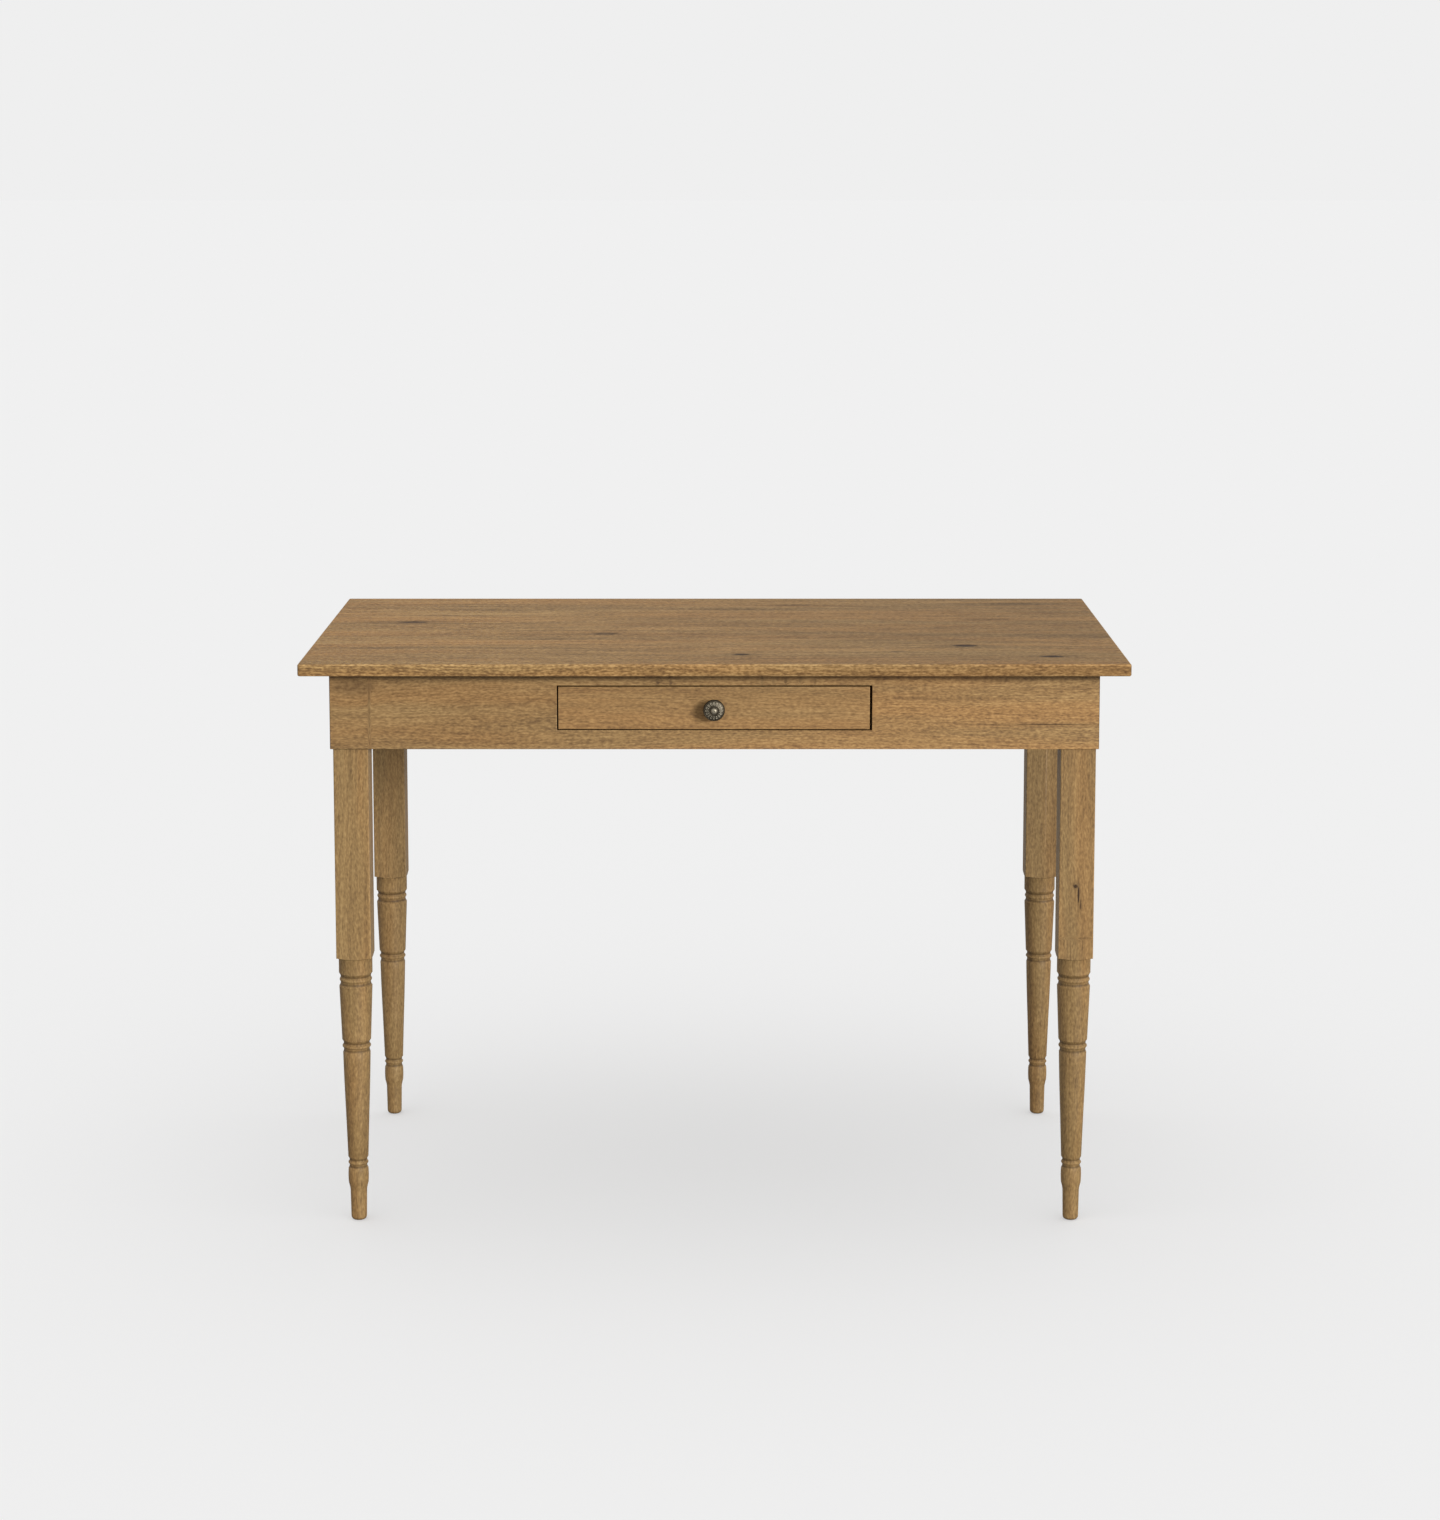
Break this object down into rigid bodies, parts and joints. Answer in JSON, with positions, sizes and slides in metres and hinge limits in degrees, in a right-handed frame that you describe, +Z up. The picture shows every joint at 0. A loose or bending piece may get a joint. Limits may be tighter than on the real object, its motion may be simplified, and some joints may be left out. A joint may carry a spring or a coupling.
{
  "type": "writing desk",
  "caption": "Oak writing desk with a plain overhanging top, legs square above and turned below, a lapped apron box and a shallow drawer on wooden runners with a cast rosette knob.",
  "frame": {"origin": "on the floor, under the middle of the top", "axes": "+X to the sitter's right along the desk's width, +Y from the drawer side to the rear, +Z up"},
  "size_m": [1.08, 0.6, 0.762],
  "materials": {
    "oak_top": "oiled oak, satin, open grain with small knots",
    "oak": "oiled oak, satin, open grain",
    "oak_inner": "planed oak, unfinished",
    "drawer_panel": "thin birch-faced panel, unfinished",
    "old_bronze": "cast, darkened, rubbed bright on the high places",
    "zinc": "zinc plated"
  },
  "bodies": {
    "desk_frame": {"table_top": "oak_top", "front_left_leg": "oak", "front_left_corner_block": "oak_inner", "front_left_leg_bolt": "zinc", "front_left_leg_washer": "zinc", "front_left_leg_nut": "zinc", "front_left_side_screw": "zinc", "front_left_rail_screw": "zinc", "front_left_top_screw": "zinc", "front_right_leg": "oak", "front_right_corner_block": "oak_inner", "front_right_leg_bolt": "zinc", "front_right_leg_washer": "zinc", "front_right_leg_nut": "zinc", "front_right_side_screw": "zinc", "front_right_rail_screw": "zinc", "front_right_top_screw": "zinc", "rear_right_leg": "oak", "rear_right_corner_block": "oak_inner", "rear_right_leg_bolt": "zinc", "rear_right_leg_washer": "zinc", "rear_right_leg_nut": "zinc", "rear_right_side_screw": "zinc", "rear_right_rail_screw": "zinc", "rear_right_top_screw": "zinc", "rear_left_leg": "oak", "rear_left_corner_block": "oak_inner", "rear_left_leg_bolt": "zinc", "rear_left_leg_washer": "zinc", "rear_left_leg_nut": "zinc", "rear_left_side_screw": "zinc", "rear_left_rail_screw": "zinc", "rear_left_top_screw": "zinc", "front_apron": "oak", "rear_apron": "oak", "left_apron": "oak", "right_apron": "oak", "left_runner": "oak_inner", "left_kicker": "oak_inner", "left_guide": "oak_inner", "left_drawer_stop": "oak_inner", "left_kicker_screw_front": "zinc", "left_kicker_screw_rear": "zinc", "right_runner": "oak_inner", "right_kicker": "oak_inner", "right_guide": "oak_inner", "right_drawer_stop": "oak_inner", "right_kicker_screw_front": "zinc", "right_kicker_screw_rear": "zinc"},
    "drawer": {"drawer_front": "oak", "drawer_left_side": "oak_inner", "drawer_right_side": "oak_inner", "drawer_back": "oak_inner", "drawer_bottom": "drawer_panel", "drawer_knob": "old_bronze", "knob_screw": "zinc"}
  },
  "joints": [
    {"name": "drawer_slide", "type": "slide", "parent": "desk_frame", "child": "drawer", "axis": [0, -1, 0], "range_m": [0, 0.32]}
  ]
}
